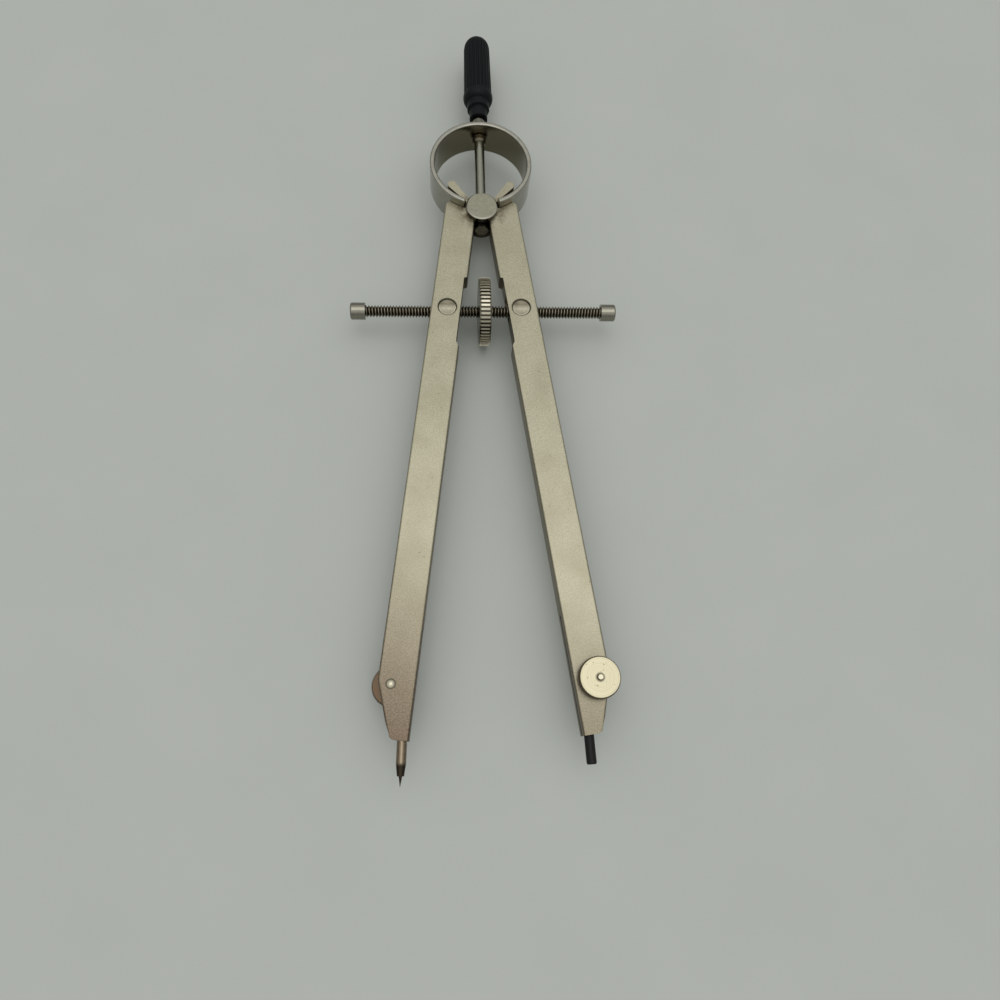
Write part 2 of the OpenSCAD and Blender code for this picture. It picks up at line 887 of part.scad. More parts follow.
handle_grip();
stem();
stem_ferrule();
bow_nut();
bow_spring();
fulcrum_pin();
fulcrum_washer();
stem_end_nut();
needle_leg();
lead_leg();
needle_leg_trunnion();
lead_leg_trunnion();
spindle();
left_end_cap();
right_end_cap();
centre_wheel();
needle_clamp_stud();
needle_clamp_nut();
lead_clamp_stud();
lead_clamp_nut();
needle_shank();
needle_point();
lead();
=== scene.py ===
"""Bow compass lying on its back on a pale table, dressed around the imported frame. Lengths are in metres."""
import json

import bmesh
import bpy
import numpy as np
from mathutils import Matrix, Vector


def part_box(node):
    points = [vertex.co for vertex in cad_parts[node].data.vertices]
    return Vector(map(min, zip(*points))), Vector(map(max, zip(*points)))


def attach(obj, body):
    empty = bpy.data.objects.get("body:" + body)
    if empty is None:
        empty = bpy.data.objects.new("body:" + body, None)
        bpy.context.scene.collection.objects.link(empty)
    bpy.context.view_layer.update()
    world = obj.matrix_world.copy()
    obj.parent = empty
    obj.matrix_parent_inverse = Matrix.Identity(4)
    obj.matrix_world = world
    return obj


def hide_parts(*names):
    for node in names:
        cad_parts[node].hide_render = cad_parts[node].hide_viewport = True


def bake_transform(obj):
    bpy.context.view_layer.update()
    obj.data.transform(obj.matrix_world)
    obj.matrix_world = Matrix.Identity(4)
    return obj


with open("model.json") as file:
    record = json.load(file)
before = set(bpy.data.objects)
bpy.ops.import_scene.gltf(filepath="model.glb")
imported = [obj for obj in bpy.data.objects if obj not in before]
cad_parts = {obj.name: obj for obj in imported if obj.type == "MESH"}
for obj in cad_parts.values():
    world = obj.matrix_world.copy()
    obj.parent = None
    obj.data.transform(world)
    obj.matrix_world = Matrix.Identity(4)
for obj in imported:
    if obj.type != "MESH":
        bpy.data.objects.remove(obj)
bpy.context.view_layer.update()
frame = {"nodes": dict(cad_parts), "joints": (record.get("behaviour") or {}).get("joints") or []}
nodes = frame["nodes"]
joints = {joint["name"]: joint for joint in frame["joints"]}
MM = 0.001

# Places read from the frame
pivot = Vector(joints["lead_leg_open"]["pos_m"])
screw_axis = Vector(joints["wheel_turn"]["pos_m"])
lead_stud = Vector(joints["lead_clamp_turn"]["pos_m"])
needle_stud = Vector(joints["needle_clamp_turn"]["pos_m"])
lead_trunnion = Vector(joints["lead_trunnion_turn"]["pos_m"])
needle_trunnion = Vector(joints["needle_trunnion_turn"]["pos_m"])
leg_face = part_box("lead_leg")[1].z - pivot.z
shank_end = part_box("needle_shank")[0].y
disc_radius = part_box("fulcrum_pin")[1].x - pivot.x
disc_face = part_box("fulcrum_pin")[1].z - pivot.z


# Small tools

def linear(hex_colour):
    """sRGB hex value to a linear RGBA colour."""
    srgb = np.array([int(hex_colour[i:i + 2], 16) for i in (1, 3, 5)]) / 255
    rgb = np.where(srgb <= 0.04045, srgb / 12.92, ((srgb + 0.055) / 1.055) ** 2.4)
    return (*rgb.tolist(), 1.0)


def per_mm(size):
    """Texture scale, in cycles per metre, of a pattern whose features are this many millimetres apart."""
    return 1 / (size * MM)


def connect(tree, node, inputs):
    """Sets a node's inputs: a socket is linked, a hex colour is made linear, and any other value is set."""
    for name, value in inputs.items():
        if isinstance(value, bpy.types.NodeSocket):
            tree.links.new(value, node.inputs[name])
        else:
            node.inputs[name].default_value = linear(value) if isinstance(value, str) else value


def add(tree, kind, inputs=None, output=None, **settings):
    """Adds a node with its settings and links, and returns the named output, or else the first in use."""
    made = tree.nodes.new("ShaderNode" + kind)
    for name, value in settings.items():
        setattr(made, name, value)
    connect(tree, made, inputs or {})
    if output:
        return made.outputs[output]
    return next(socket for socket in made.outputs if socket.enabled)


def away_from(tree, place, centre, axes):
    """Distance of a place from a centre, along the axes that are 1."""
    offset = add(tree, "VectorMath", {0: place, 1: centre}, operation="SUBTRACT")
    kept = add(tree, "VectorMath", {0: offset, 1: axes}, operation="MULTIPLY")
    return add(tree, "VectorMath", {0: kept}, operation="LENGTH")


def new_material(name):
    """A node material, its tree, its Principled shader and the place of a point on the object."""
    made = bpy.data.materials.new(name)
    made.use_nodes = True
    tree = made.node_tree
    return made, tree, tree.nodes["Principled BSDF"], add(tree, "TexCoord", output="Object")


def give(material, *names):
    """Puts one material on the named CAD nodes."""
    for name in names:
        nodes[name].data.materials.clear()
        nodes[name].data.materials.append(material)


def surface(name, points, material, sharp_angle=40):
    """Closed skin over a grid of points: columns wrap round, and each end row closes on its own middle.

    Quads join each point to its neighbours in the next row and column, and triangles join the end rows to
    a pole at their mean.
    """
    rows, columns = points.shape[:2]
    index = np.arange(rows * columns).reshape(rows, columns)
    right = np.roll(index, -1, axis=1)
    quads = np.stack([index[:-1], right[:-1], right[1:], index[1:]], axis=-1).reshape(-1, 4)
    first_pole, last_pole = rows * columns, rows * columns + 1
    first_fan = np.stack([right[0], index[0], np.full(columns, first_pole)], axis=-1)
    last_fan = np.stack([index[-1], right[-1], np.full(columns, last_pole)], axis=-1)
    vertices = np.vstack([points.reshape(-1, 3), points[0].mean(0), points[-1].mean(0)])
    mesh = bpy.data.meshes.new(name)
    mesh.from_pydata(vertices.tolist(), [], quads.tolist() + first_fan.tolist() + last_fan.tolist())
    shell = bmesh.new()
    shell.from_mesh(mesh)
    bmesh.ops.recalc_face_normals(shell, faces=shell.faces)
    shell.to_mesh(mesh)
    shell.free()
    mesh.polygons.foreach_set("use_smooth", np.ones(len(mesh.polygons), bool))
    mesh.set_sharp_from_angle(angle=np.radians(sharp_angle))
    mesh.materials.append(material)
    piece = bpy.data.objects.new(name, mesh)
    bpy.context.scene.collection.objects.link(piece)
    return piece


def note(piece, name, values):
    """Keeps one value for each grid point of a piece under a name, and 0 for its two poles."""
    kept = piece.data.attributes.new(name, "FLOAT", "POINT")
    kept.data.foreach_set("value", np.append(values.ravel(), [0, 0]).astype(np.float32))


# Materials

# Height of the finest marks that the plated and moulded surfaces have
MARK_HEIGHT = 0.02 * MM

# Strength of the bump that handling leaves on smooth metal
HANDLED = 0.05

# Wear of the legs: how much further it reaches on the needle's side, and where it starts and is complete
WEAR_DIRECTION = (0.5, 1, 0)
WEAR_START = -49 * MM
WEAR_END = -95 * MM

# Depths under a leg's faces between which the painted shade on its sides, with a little dirt, fades out
SIDE_SHADE_END = 0.05 * MM
SIDE_SHADE_FULL = 0.35 * MM

# Where the saw cuts of the jaws start, and distances from the middle between which the painted shade
# along them fades out
CUT_START = -60.6 * MM
CUT_FADE = 0.6 * MM
CUT_SHADE_FULL = 0.35 * MM
CUT_SHADE_END = 0.7 * MM

# Radii between which the painted shade in the bevels round the trunnions fades out
HOLE_SHADE_FULL = 2.1 * MM
HOLE_SHADE_END = 2.4 * MM

# Distances from the pivot between which the oil that leaves it fades out
OIL_INNER = 4.0 * MM
OIL_OUTER = 6.8 * MM


def satin_nickel():
    """Pearl-satin nickel plate on brass: a champagne grey metal with a sparkling grain, soft clouds and
    patches of small dark pits. Painted shade, with a little dirt, darkens its narrow sides, and painted
    shade lines the saw cuts and the bevels round the trunnions. Old oil smears it near the pivot. Towards
    the points hands have worn it brown, more so on the needle's leg. The grain is drawn coarser than it
    is, so that it shows."""
    made, tree, shader, place = new_material("satin_nickel_plate")
    grain = add(tree, "TexNoise", {"Vector": place, "Scale": per_mm(0.26), "Detail": 2.0})
    sparkle = add(tree, "MapRange", {"Value": grain, "From Min": 0.35, "From Max": 0.65})
    shade = add(tree, "Mix", {"Factor": sparkle, "A": "#9d9883", "B": "#b7b29d"}, data_type="RGBA")

    clouds = add(tree, "TexNoise", {"Vector": place, "Scale": per_mm(7), "Detail": 3.0})
    cloud = add(tree, "MapRange", {"Value": clouds, "From Min": 0.4, "From Max": 0.7, "To Max": 0.3})
    clouded = add(tree, "Mix", {"Factor": cloud, "A": shade, "B": "#8a846d"}, data_type="RGBA")

    worn = add(tree, "VectorMath", {0: place, 1: WEAR_DIRECTION}, operation="DOT_PRODUCT")
    wear = add(tree, "MapRange", {"Value": worn, "From Min": WEAR_START, "From Max": WEAR_END})
    brown = add(tree, "Mix", {"Factor": sparkle, "A": "#56493d", "B": "#7b6c5d"}, data_type="RGBA")
    browned = add(tree, "Mix", {"Factor": wear, "A": clouded, "B": brown}, data_type="RGBA")

    spots = add(tree, "TexVoronoi", {"Vector": place, "Scale": per_mm(1.6)})
    pit = add(tree, "MapRange", {
        "Value": spots, "From Min": 0.06, "From Max": 0.1, "To Min": 0.7, "To Max": 0.0})
    patch = add(tree, "MapRange", {"Value": clouds, "From Min": 0.48, "From Max": 0.56})
    pits = add(tree, "Math", {0: pit, 1: patch}, operation="MULTIPLY")
    pitted = add(tree, "Mix", {"Factor": pits, "A": browned, "B": "#4c4737"}, data_type="RGBA")

    # Painted shade, with a little dirt, darkens the leg's narrow sides and the rounding of its edges
    from_middle = away_from(tree, place, pivot, (0, 0, 1))
    side = add(tree, "MapRange", {
        "Value": from_middle, "From Min": leg_face - SIDE_SHADE_FULL, "From Max": leg_face - SIDE_SHADE_END,
        "To Min": 0.6, "To Max": 0.0})
    dirt_and_shade = add(tree, "Mix", {"Factor": side, "A": pitted, "B": "#514434"}, data_type="RGBA")

    # Painted shade along the saw cuts of the jaws, below where they start
    along = add(tree, "SeparateXYZ", {"Vector": place}, output="Y")
    below = add(tree, "MapRange", {"Value": along, "From Min": CUT_START + CUT_FADE, "From Max": CUT_START})
    seam = add(tree, "MapRange", {
        "Value": from_middle, "From Min": CUT_SHADE_FULL, "From Max": CUT_SHADE_END, "To Min": 0.85, "To Max": 0.0})
    cut = add(tree, "Math", {0: below, 1: seam}, operation="MULTIPLY")
    cut_shaded = add(tree, "Mix", {"Factor": cut, "A": dirt_and_shade, "B": "#191611"}, data_type="RGBA")

    # Painted shade in the bevels round the trunnions' holes
    from_lead_trunnion = away_from(tree, place, lead_trunnion, (1, 1, 0))
    from_needle_trunnion = away_from(tree, place, needle_trunnion, (1, 1, 0))
    nearer = add(tree, "Math", {0: from_lead_trunnion, 1: from_needle_trunnion}, operation="MINIMUM")
    bevel = add(tree, "MapRange", {
        "Value": nearer, "From Min": HOLE_SHADE_FULL, "From Max": HOLE_SHADE_END, "To Min": 0.85, "To Max": 0.0})
    hole_shaded = add(tree, "Mix", {"Factor": bevel, "A": cut_shaded, "B": "#2e281e"}, data_type="RGBA")

    from_pivot = away_from(tree, place, pivot, (1, 1, 0))
    near = add(tree, "MapRange", {
        "Value": from_pivot, "From Min": OIL_INNER, "From Max": OIL_OUTER, "To Min": 0.8, "To Max": 0.0})
    smears = add(tree, "TexNoise", {"Vector": place, "Scale": per_mm(1.8), "Detail": 3.0})
    smear = add(tree, "MapRange", {"Value": smears, "From Min": 0.42, "From Max": 0.6})
    oil = add(tree, "Math", {0: near, 1: smear}, operation="MULTIPLY")
    oil_and_shade_colour = add(tree, "Mix", {"Factor": oil, "A": hole_shaded, "B": "#5a4c39"}, data_type="RGBA")

    gloss = add(tree, "MapRange", {
        "Value": grain, "From Min": 0.3, "From Max": 0.7, "To Min": 0.33, "To Max": 0.46})
    bump = add(tree, "Bump", {"Height": grain, "Strength": 0.4, "Distance": MARK_HEIGHT})
    connect(tree, shader, {"Metallic": 1.0, "Base Color": oil_and_shade_colour, "Roughness": gloss, "Normal": bump})
    return made


def plated_metal(name, dark, pale, roughness, mark_size):
    """Nickel plate or steel: a metal whose faint handling marks, of a size in millimetres, vary its colour
    and gloss a little."""
    made, tree, shader, place = new_material(name)
    marks = add(tree, "TexNoise", {"Vector": place, "Scale": per_mm(mark_size), "Detail": 4.0})
    shade = add(tree, "Mix", {"Factor": marks, "A": dark, "B": pale}, data_type="RGBA")
    gloss = add(tree, "MapRange", {
        "Value": marks, "From Min": 0.3, "From Max": 0.7,
        "To Min": roughness * 0.8, "To Max": roughness * 1.25})
    bump = add(tree, "Bump", {"Height": marks, "Strength": HANDLED, "Distance": MARK_HEIGHT})
    connect(tree, shader, {"Metallic": 1.0, "Base Color": shade, "Roughness": gloss, "Normal": bump})
    return made


# Radii of the wheel between which the painted shade in its tooth gaps fades out, and half widths between
# which the painted shade on its sides begins
TOOTH_ROOT = 7.4 * MM
TOOTH_SHADE_END = 7.62 * MM
WHEEL_SIDE = 1.2 * MM
WHEEL_FACE = 1.28 * MM


def wheel_nickel():
    """Polished nickel wheel: bright crests, with painted shade between the teeth and on its sides."""
    made, tree, shader, place = new_material("polished_nickel_wheel")
    marks = add(tree, "TexNoise", {"Vector": place, "Scale": per_mm(0.8), "Detail": 4.0})
    shade = add(tree, "Mix", {"Factor": marks, "A": "#a39d8b", "B": "#c2bcaa"}, data_type="RGBA")
    across = away_from(tree, place, screw_axis, (1, 0, 0))
    radius = away_from(tree, place, screw_axis, (0, 1, 1))
    # Painted shade on the wheel's sides
    side = add(tree, "MapRange", {"Value": across, "From Min": WHEEL_SIDE, "From Max": WHEEL_FACE})
    # Painted shade in the tooth gaps
    deep = add(tree, "MapRange", {
        "Value": radius, "From Min": TOOTH_ROOT, "From Max": TOOTH_SHADE_END, "To Min": 0.9, "To Max": 0.0})
    painted_shade = add(tree, "Mix", {"Factor": deep, "A": shade, "B": "#332e25"}, data_type="RGBA")
    side_shaded = add(tree, "Mix", {"Factor": side, "A": painted_shade, "B": "#6a6350"}, data_type="RGBA")
    bump = add(tree, "Bump", {"Height": marks, "Strength": HANDLED, "Distance": MARK_HEIGHT})
    connect(tree, shader, {"Metallic": 1.0, "Base Color": side_shaded, "Roughness": 0.2, "Normal": bump})
    return made


# Radii between which the painted shade round a stud fades out, and depths under a nut's face where the
# painted shade on its knurl starts
STUD_SHADE_FULL = 0.6 * MM
STUD_SHADE_END = 1.1 * MM
FACE_EDGE = 0.06 * MM
KNURL_EDGE = 0.12 * MM


def turned_nickel(name, centre, face_height):
    """Nickel-plated thumb nut: a cream-white turned face with fine rings from the lathe tool, a few specks,
    painted shade round its stud, and painted brown shade on its knurl and back."""
    made, tree, shader, place = new_material(name)
    radius = away_from(tree, place, centre, (1, 1, 0))
    rings = add(
        tree, "TexNoise", {"W": radius, "Scale": per_mm(0.16), "Detail": 2.0}, noise_dimensions="1D")
    ring = add(tree, "MapRange", {"Value": rings, "From Min": 0.3, "From Max": 0.7})
    shade = add(tree, "Mix", {"Factor": ring, "A": "#aba48a", "B": "#c6bea3"}, data_type="RGBA")
    marks = add(tree, "TexNoise", {"Vector": place, "Scale": per_mm(0.7), "Detail": 3.0})
    speck = add(tree, "MapRange", {"Value": marks, "From Min": 0.66, "From Max": 0.7})
    specked = add(tree, "Mix", {"Factor": speck, "A": shade, "B": "#7d7660"}, data_type="RGBA")
    # Painted shade round the stud
    stud_shade = add(tree, "MapRange", {
        "Value": radius, "From Min": STUD_SHADE_FULL, "From Max": STUD_SHADE_END, "To Min": 0.95, "To Max": 0.0})
    painted_shade = add(tree, "Mix", {"Factor": stud_shade, "A": specked, "B": "#2d281f"}, data_type="RGBA")
    # Painted brown shade on the knurl and the back, below the face
    under = away_from(tree, place, (0, 0, face_height), (0, 0, 1))
    oil = add(tree, "MapRange", {"Value": under, "From Min": FACE_EDGE, "From Max": KNURL_EDGE})
    oil_and_shade_colour = add(tree, "Mix", {"Factor": oil, "A": painted_shade, "B": "#5a4b3c"}, data_type="RGBA")
    bump = add(tree, "Bump", {"Height": rings, "Strength": 0.12, "Distance": MARK_HEIGHT})
    connect(tree, shader, {"Metallic": 1.0, "Base Color": oil_and_shade_colour, "Roughness": 0.3, "Normal": bump})
    return made


# Radii of a stud's domed head between which the painted shade at its rim grows
HEAD_SHADE_START = 0.62 * MM
HEAD_SHADE_FULL = 1.1 * MM


def domed_nickel(name, centre):
    """Polished nickel stud: a bright domed head with painted shade round its rim."""
    made, tree, shader, place = new_material(name)
    marks = add(tree, "TexNoise", {"Vector": place, "Scale": per_mm(0.4), "Detail": 4.0})
    shade = add(tree, "Mix", {"Factor": marks, "A": "#a29c88", "B": "#c9c3ae"}, data_type="RGBA")
    radius = away_from(tree, place, centre, (1, 1, 0))
    # Painted shade round the rim of the head
    rim = add(tree, "MapRange", {
        "Value": radius, "From Min": HEAD_SHADE_START, "From Max": HEAD_SHADE_FULL, "To Max": 0.85})
    painted_shade = add(tree, "Mix", {"Factor": rim, "A": shade, "B": "#383025"}, data_type="RGBA")
    bump = add(tree, "Bump", {"Height": marks, "Strength": HANDLED, "Distance": MARK_HEIGHT})
    connect(tree, shader, {"Metallic": 1.0, "Base Color": painted_shade, "Roughness": 0.16, "Normal": bump})
    return made


# Heights above the screw's axis between which the painted shade in a trunnion's dish grows
DISH_SHADE_START = -0.2 * MM
DISH_SHADE_FULL = 0.9 * MM


def dished_nickel():
    """Turned nickel trunnion: a bright mottled dish, darker towards its upper rim with painted shade."""
    made, tree, shader, place = new_material("turned_nickel_trunnion")
    marks = add(tree, "TexNoise", {"Vector": place, "Scale": per_mm(0.6), "Detail": 4.0})
    shade = add(tree, "Mix", {"Factor": marks, "A": "#a8a28e", "B": "#ccc6b1"}, data_type="RGBA")
    along = add(tree, "SeparateXYZ", {"Vector": place}, output="Y")
    # Painted shade on the upper side of the dish
    dirt = add(tree, "MapRange", {
        "Value": along, "From Min": screw_axis.y + DISH_SHADE_START, "From Max": screw_axis.y + DISH_SHADE_FULL,
        "To Max": 0.8})
    dirt_and_shade = add(tree, "Mix", {"Factor": dirt, "A": shade, "B": "#453f32"}, data_type="RGBA")
    bump = add(tree, "Bump", {"Height": marks, "Strength": HANDLED, "Distance": MARK_HEIGHT})
    connect(tree, shader, {"Metallic": 1.0, "Base Color": dirt_and_shade, "Roughness": 0.26, "Normal": bump})
    return made


# The discs' bevels: how far they reach in from the edge, how soft they begin, and the heights from the
# pivot between which they turn from painted shade to a painted highlight
DISC_BEVEL = 0.25 * MM
DISC_SOFT = 0.05 * MM
DISC_SHADED = 1.0 * MM
DISC_HIGHLIT = -1.5 * MM


def disc_nickel():
    """Turned nickel disc of the pivot: a grey mottled face, a bevel with painted shade on the handle's side
    and a painted highlight on the points' side, and a wall darkened with painted shade."""
    made, tree, shader, place = new_material("turned_nickel_disc")
    marks = add(tree, "TexNoise", {"Vector": place, "Scale": per_mm(0.8), "Detail": 4.0})
    shade = add(tree, "Mix", {"Factor": marks, "A": "#838172", "B": "#a19f8e"}, data_type="RGBA")
    radius = away_from(tree, place, pivot, (1, 1, 0))
    # Painted shade and a painted highlight on the bevel: shade on the handle's side, highlight on the points'
    # side
    outer = add(tree, "MapRange", {
        "Value": radius, "From Min": disc_radius - DISC_BEVEL - DISC_SOFT,
        "From Max": disc_radius - DISC_BEVEL})
    along = add(tree, "SeparateXYZ", {"Vector": place}, output="Y")
    bevel_highlight = add(tree, "MapRange", {
        "Value": along, "From Min": pivot.y + DISC_SHADED, "From Max": pivot.y + DISC_HIGHLIT})
    bevel = add(tree, "Mix", {"Factor": bevel_highlight, "A": "#4a4437", "B": "#cfccbc"}, data_type="RGBA")
    with_bevel_shading = add(tree, "Mix", {"Factor": outer, "A": shade, "B": bevel}, data_type="RGBA")
    from_middle = away_from(tree, place, pivot, (0, 0, 1))
    # Painted shade on the disc's wall
    wall = add(tree, "MapRange", {
        "Value": from_middle, "From Min": disc_face - DISC_BEVEL,
        "From Max": disc_face - DISC_BEVEL - DISC_SOFT})
    painted_shade = add(tree, "Mix", {"Factor": wall, "A": with_bevel_shading, "B": "#4a4437"}, data_type="RGBA")
    bump = add(tree, "Bump", {"Height": marks, "Strength": HANDLED, "Distance": MARK_HEIGHT})
    connect(tree, shader, {"Metallic": 1.0, "Base Color": painted_shade, "Roughness": 0.18, "Normal": bump})
    return made


# Heights above the end of the needle's shank between which its blackened tip starts
TIP_BRIGHT = 2.6 * MM
TIP_BLACK = 1.9 * MM


def needle_steel():
    """Ground tool steel: a straw-brown shank with a sharp gleam, black from its shoulder to the point."""
    made, tree, shader, place = new_material("ground_needle_steel")
    marks = add(tree, "TexNoise", {"Vector": place, "Scale": per_mm(0.5), "Detail": 4.0})
    shade = add(tree, "Mix", {"Factor": marks, "A": "#706353", "B": "#928571"}, data_type="RGBA")
    along = add(tree, "SeparateXYZ", {"Vector": place}, output="Y")
    black = add(tree, "MapRange", {
        "Value": along, "From Min": shank_end + TIP_BRIGHT, "From Max": shank_end + TIP_BLACK,
        "To Max": 0.9})
    blackened = add(tree, "Mix", {"Factor": black, "A": shade, "B": "#221e19"}, data_type="RGBA")
    bump = add(tree, "Bump", {"Height": marks, "Strength": HANDLED, "Distance": MARK_HEIGHT})
    connect(tree, shader, {"Metallic": 1.0, "Base Color": blackened, "Roughness": 0.13, "Normal": bump})
    return made


def moulded_plastic():
    """Moulded ABS: blue-black, satin, with a faint sandy skin and paler rubbed spots."""
    made, tree, shader, place = new_material("moulded_black_plastic")
    rubbed = add(tree, "TexNoise", {"Vector": place, "Scale": per_mm(5), "Detail": 3.0})
    shade = add(tree, "Mix", {"Factor": rubbed, "A": "#05080a", "B": "#0d1316"}, data_type="RGBA")
    gloss = add(tree, "MapRange", {
        "Value": rubbed, "From Min": 0.3, "From Max": 0.7, "To Min": 0.42, "To Max": 0.55})
    sand = add(tree, "TexNoise", {"Vector": place, "Scale": per_mm(0.25), "Detail": 2.0})
    bump = add(tree, "Bump", {"Height": sand, "Strength": 0.15, "Distance": MARK_HEIGHT})
    connect(tree, shader, {
        "IOR": 1.5, "Specular IOR Level": 0.16, "Base Color": shade, "Roughness": gloss, "Normal": bump})
    return made


def graphite():
    """Pressed graphite: near black with a grey sheen and fine marks along the rod."""
    made, tree, shader, place = new_material("pressed_graphite")
    stretched = add(tree, "Mapping", {"Vector": place, "Scale": (1.0, 0.12, 1.0)})
    streaks = add(tree, "TexNoise", {"Vector": stretched, "Scale": per_mm(0.2), "Detail": 3.0})
    shade = add(tree, "Mix", {"Factor": streaks, "A": "#090909", "B": "#171716"}, data_type="RGBA")
    bump = add(tree, "Bump", {"Height": streaks, "Strength": 0.2, "Distance": MARK_HEIGHT})
    connect(tree, shader, {
        "Metallic": 0.1, "Specular IOR Level": 0.25, "Roughness": 0.48,
        "Base Color": shade, "Normal": bump})
    return made


def spring_nickel():
    """Satin nickel strip of the spring: mid-grey outside and on its rims, olive inside where dirt stays.
    The piece's own attribute "inward" is 0 outside and 1 inside."""
    made, tree, shader, place = new_material("satin_nickel_spring")
    inward = add(tree, "Attribute", output="Fac", attribute_name="inward")
    marks = add(tree, "TexNoise", {"Vector": place, "Scale": per_mm(1.5), "Detail": 4.0})
    shade = add(tree, "Mix", {"Factor": marks, "A": "#8b897e", "B": "#aeaba1"}, data_type="RGBA")
    dirt_and_shade = add(tree, "Mix", {"Factor": inward, "A": shade, "B": "#857f6c"}, data_type="RGBA")
    gloss = add(tree, "MapRange", {
        "Value": marks, "From Min": 0.3, "From Max": 0.7, "To Min": 0.13, "To Max": 0.22})
    bump = add(tree, "Bump", {"Height": marks, "Strength": HANDLED, "Distance": MARK_HEIGHT})
    connect(tree, shader, {"Metallic": 1.0, "Base Color": dirt_and_shade, "Roughness": gloss, "Normal": bump})
    return made


def screw_steel():
    """Cut thread of oiled steel: rubbed grey-brown crests, and roots darkened with painted shade. The
    piece's own attribute "groove" is 0 on the crests and 1 in the roots."""
    made, tree, shader, place = new_material("oiled_screw_steel_shaded_roots")
    groove = add(tree, "Attribute", output="Fac", attribute_name="groove")
    marks = add(tree, "TexNoise", {"Vector": place, "Scale": per_mm(0.6), "Detail": 4.0})
    crest = add(tree, "Mix", {"Factor": marks, "A": "#928c7b", "B": "#b0aa99"}, data_type="RGBA")
    # Painted shade in the thread's roots
    deep = add(tree, "MapRange", {"Value": groove, "From Max": 0.8})
    oil_and_shade_colour = add(tree, "Mix", {"Factor": deep, "A": crest, "B": "#4a4336"}, data_type="RGBA")
    bump = add(tree, "Bump", {"Height": marks, "Strength": HANDLED, "Distance": MARK_HEIGHT})
    connect(tree, shader, {"Metallic": 1.0, "Base Color": oil_and_shade_colour, "Roughness": 0.26, "Normal": bump})
    return made


spring_strip = spring_nickel()
polished = plated_metal("polished_nickel", "#7d7a6f", "#949185", roughness=0.1, mark_size=0.8)
stem_steel = plated_metal("drawn_stem_steel", "#838478", "#9e9e92", roughness=0.22, mark_size=0.6)
black_steel = plated_metal("blackened_steel", "#5b5547", "#89816f", roughness=0.26, mark_size=0.6)
lead_nut_nickel = turned_nickel("turned_nickel_lead_nut", lead_stud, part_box("lead_clamp_nut")[1].z)
needle_nut_nickel = turned_nickel("turned_nickel_needle_nut", needle_stud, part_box("needle_clamp_nut")[0].z)

give(satin_nickel(), "needle_leg", "lead_leg")
give(dished_nickel(), "needle_leg_trunnion", "lead_leg_trunnion")
give(disc_nickel(), "fulcrum_pin", "fulcrum_washer")
give(stem_steel, "stem")
give(polished, "stem_ferrule", "left_end_cap", "right_end_cap")
give(domed_nickel("domed_nickel_needle_stud", needle_stud), "needle_clamp_stud")
give(domed_nickel("domed_nickel_lead_stud", lead_stud), "lead_clamp_stud")
give(wheel_nickel(), "centre_wheel")
give(black_steel, "bow_nut", "stem_end_nut")
give(needle_steel(), "needle_shank", "needle_point")
give(lead_nut_nickel, "lead_clamp_nut")
give(needle_nut_nickel, "needle_clamp_nut")
give(moulded_plastic(), "handle_grip")
give(graphite(), "lead")


# Threaded spindle

# Sizes of the thread, the flat shares of its crest and root, and the steps of its grid
THREAD_PITCH = 0.7 * MM
THREAD_DEPTH = 0.45 * MM
CREST_SHARE = 0.12
ROOT_SHARE = 0.1
STEPS_PER_PITCH = 12
STEPS_ROUND = 40


def threaded_spindle():
    """Rod with a V thread, of the other hand on either side of the wheel.

    At distance x from the wheel and angle a round the axis, the phase is |x| / pitch + a / one turn. The
    radius follows a trapezium wave of the phase: flat crest, straight flank, flat root, straight flank.
    """
    low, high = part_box("spindle")
    outer = (high.z - low.z) / 2
    count = int((high.x - low.x) / THREAD_PITCH * STEPS_PER_PITCH)
    x = np.linspace(low.x, high.x, count)[:, None]
    angle = np.linspace(0, 2 * np.pi, STEPS_ROUND, endpoint=False)[None, :]
    phase = np.abs(x - screw_axis.x) / THREAD_PITCH + angle / (2 * np.pi)
    from_crest = np.abs((phase % 1) - 0.5) * 2
    flank_share = 1 - CREST_SHARE - ROOT_SHARE
    groove = np.clip((1 - from_crest - CREST_SHARE) / flank_share, 0, 1)
    radius = outer - groove * THREAD_DEPTH
    points = np.stack([
        np.broadcast_to(x, radius.shape),
        screw_axis.y + radius * np.cos(angle),
        screw_axis.z + radius * np.sin(angle)], axis=-1)
    piece = surface("threaded_spindle", points, screw_steel(), sharp_angle=60)
    note(piece, "groove", groove)
    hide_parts("spindle")
    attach(piece, "spindle_body")


threaded_spindle()


# Bow spring

# Sizes of the ring's band, as in the solids, and how deep in its thickness the dirty inner face starts
RING_THICKNESS = 1.2 * MM
RIM_ROUNDING = 0.4 * MM
RING_GAP_ANGLE = np.radians(20.4)
INNER_SHARE = 0.45
RING_STEPS = 96
CORNER_STEPS = 9


def band_section(width):
    """Rounded rectangle, as offsets outwards and along the width: in each quarter turn, the point lies one
    rounding away from that corner's own centre."""
    quarter = np.repeat(np.arange(4), CORNER_STEPS) * np.pi / 2
    angle = quarter + np.tile(np.linspace(0, np.pi / 2, CORNER_STEPS), 4)
    outward = np.sign(np.cos(quarter + np.pi / 4)) * (RING_THICKNESS / 2 - RIM_ROUNDING)
    along = np.sign(np.sin(quarter + np.pi / 4)) * (width / 2 - RIM_ROUNDING)
    return outward + RIM_ROUNDING * np.cos(angle), along + RIM_ROUNDING * np.sin(angle)


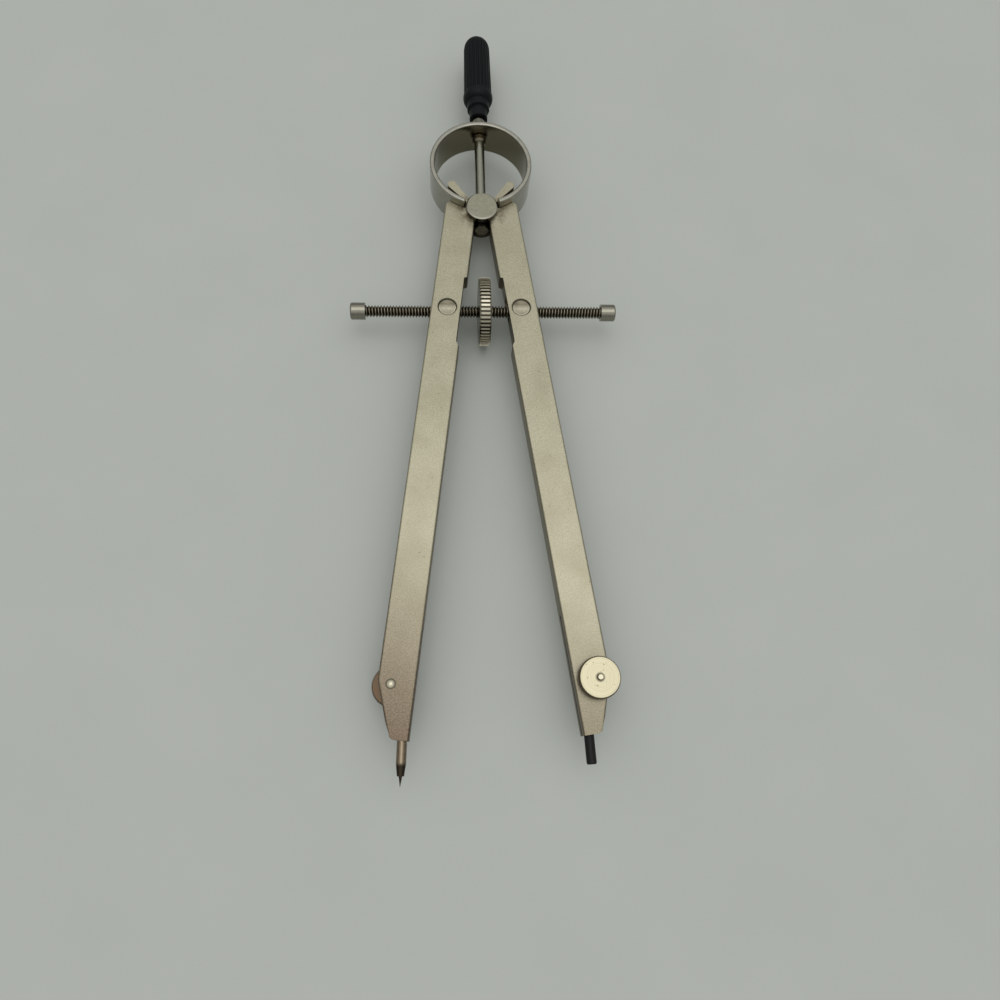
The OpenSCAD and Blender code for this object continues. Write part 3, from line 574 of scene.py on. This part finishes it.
def bow_spring_half(name, side):
    """Half of the open ring: the band's section carried along an arc from the top to one end of the ring.

    At angle a from the top, the section's own outward axis points along (side sin a, cos a, 0) and its
    other axis along Z.
    """
    low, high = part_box("bow_spring")
    outer = (high.x - low.x) / 2
    middle = Vector((pivot.x, high.y - outer, pivot.z))
    outward, along = band_section(high.z - low.z)
    angle = np.linspace(0, np.pi - RING_GAP_ANGLE, RING_STEPS)[:, None]
    radius = outer - RING_THICKNESS / 2 + outward
    points = np.stack([
        middle.x + side * radius * np.sin(angle),
        middle.y + radius * np.cos(angle),
        np.broadcast_to(middle.z + along, (RING_STEPS, len(along)))], axis=-1)
    piece = surface(name, points, spring_strip)
    note(piece, "inward", np.broadcast_to(outward < -INNER_SHARE * RING_THICKNESS, points.shape[:2]))
    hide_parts("bow_spring")
    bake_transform(piece)


bow_spring_half("bow_spring_lead_side", 1)
bow_spring_half("bow_spring_needle_side", -1)


# Table, light and camera

# Half the table's width
TABLE_HALF = 1.5


def table_top():
    """Pale, matt table: a flat square of grey card with a faint mottle."""
    corners = [(x * TABLE_HALF, y * TABLE_HALF, 0) for x, y in ((-1, -1), (1, -1), (1, 1), (-1, 1))]
    mesh = bpy.data.meshes.new("table_top")
    mesh.from_pydata(corners, [], [(0, 1, 2, 3)])
    made, tree, shader, place = new_material("pale_card")
    clouds = add(tree, "TexNoise", {"Vector": place, "Scale": per_mm(25), "Detail": 3.0})
    mottled = add(tree, "Mix", {"Factor": clouds, "A": "#b3b7b2", "B": "#babdb9"}, data_type="RGBA")
    connect(tree, shader, {"Base Color": mottled, "Roughness": 0.75})
    mesh.materials.append(made)
    piece = bpy.data.objects.new("table_top", mesh)
    bpy.context.scene.collection.objects.link(piece)


# The room's light: heights of the direction between which it grows, and its strength below and above them
DIM_HEIGHT = 0.4
BRIGHT_HEIGHT = 0.9
DIM_STRENGTH = 0.4
BRIGHT_STRENGTH = 1.1


def room_light():
    """Soft room: bright overhead and dim towards the horizon, by the height of the direction."""
    world = bpy.data.worlds.new("soft_room")
    world.use_nodes = True
    tree = world.node_tree
    direction = add(tree, "TexCoord", output="Generated")
    height = add(tree, "SeparateXYZ", {"Vector": direction}, output="Z")
    strength = add(tree, "MapRange", {
        "Value": height, "From Min": DIM_HEIGHT, "From Max": BRIGHT_HEIGHT,
        "To Min": DIM_STRENGTH, "To Max": BRIGHT_STRENGTH})
    connect(tree, tree.nodes["Background"], {"Color": "#fafbf8", "Strength": strength})
    bpy.context.scene.world = world


# The lamp's height above the table, the length of its sides and its power in watts
LAMP_HEIGHT = 0.95
LAMP_SIZE = 0.6
LAMP_POWER = 1.0


def ceiling_light():
    """Square soft box overhead that faces straight down."""
    data = bpy.data.lights.new("ceiling_light", "AREA")
    data.shape = "SQUARE"
    data.size = LAMP_SIZE
    data.energy = LAMP_POWER
    lamp = bpy.data.objects.new("ceiling_light", data)
    lamp.location = (0, 0, LAMP_HEIGHT)
    bpy.context.scene.collection.objects.link(lamp)


# The camera: where the photograph was taken from, the directions of its three axes and its lens
CAMERA_PLACE = Vector((-9.9, -88.3, 168.4)) * MM
CAMERA_RIGHT = Vector((0.99737, -0.03143, 0.06526))
CAMERA_UP = Vector((0.00942, 0.94958, 0.31338))
CAMERA_BACK = Vector((-0.07182, -0.31194, 0.94738))
CAMERA_LENS = 28.4
NEAREST = 10 * MM


def photo_camera():
    """Camera at its place, turned so that its own axes lie along the three directions."""
    data = bpy.data.cameras.new("photo_camera")
    data.lens = CAMERA_LENS
    data.clip_start = NEAREST
    camera = bpy.data.objects.new("photo_camera", data)
    turned = Matrix((CAMERA_RIGHT, CAMERA_UP, CAMERA_BACK)).transposed()
    camera.matrix_world = Matrix.Translation(CAMERA_PLACE) @ turned.to_4x4()
    bpy.context.scene.collection.objects.link(camera)
    bpy.context.scene.camera = camera


table_top()
room_light()
ceiling_light()
photo_camera()
bpy.context.scene.view_settings.view_transform = "Standard"
